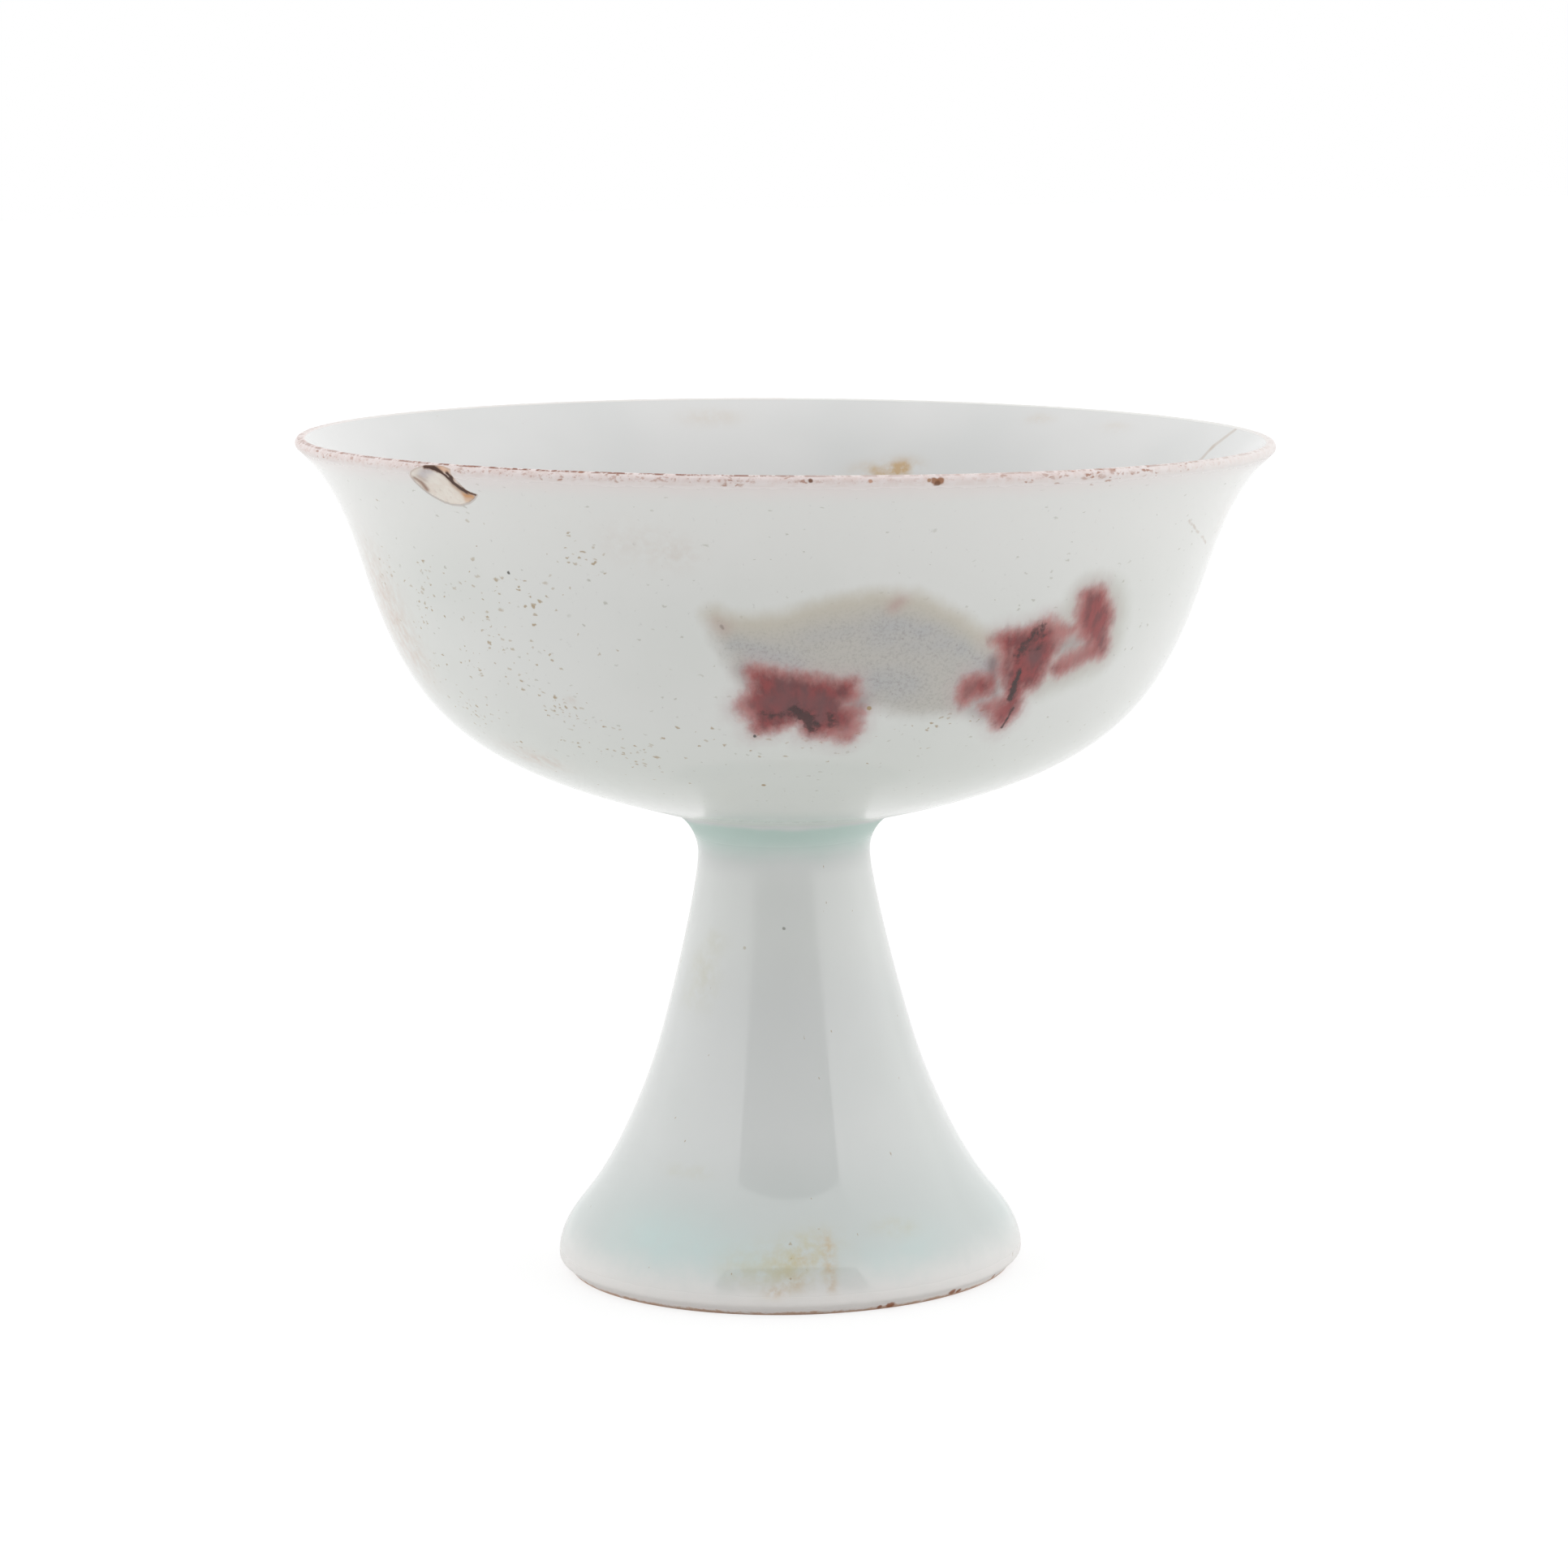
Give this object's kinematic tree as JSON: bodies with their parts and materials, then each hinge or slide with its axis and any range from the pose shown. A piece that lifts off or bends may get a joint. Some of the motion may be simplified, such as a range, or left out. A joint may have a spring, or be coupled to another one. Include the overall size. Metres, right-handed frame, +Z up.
{
  "type": "stem cup",
  "caption": "Porcelain stem cup: deep bowl with everted lip luted onto a hollow trumpet stem, pale glaze inside and out, copper-red fish let into the outer glaze; stands on a bare foot rim.",
  "frame": {"origin": "centre of the foot rim's flat underside, on the cup's axis", "axes": "+Z up along the cup's axis, -Y towards the front with the first fish, +X to the right seen from the front"},
  "size_m": [0.1, 0.1, 0.0866],
  "materials": {
    "clay": "fired porcelain body, matt, with a brown bare edge at the foot",
    "slip": "fired slip, matt",
    "clear_glaze": "pale grey-white glaze, glossy",
    "green_glaze": "pooled pale green glaze, glossy",
    "grey_copper_glaze": "thin copper glaze fired grey, glossy",
    "red_copper_glaze": "copper glaze fired red, glossy"
  },
  "bodies": {
    "root": {"bowl_body": "clay", "stem_body": "clay", "luting_slip": "slip", "bowl_outer_glaze": "clear_glaze", "bowl_inner_glaze": "clear_glaze", "stem_outer_glaze": "clear_glaze", "stem_bore_glaze": "clear_glaze", "neck_glaze_roll": "green_glaze", "fish_wash": "grey_copper_glaze", "fish_red": "red_copper_glaze"}
  },
  "joints": []
}
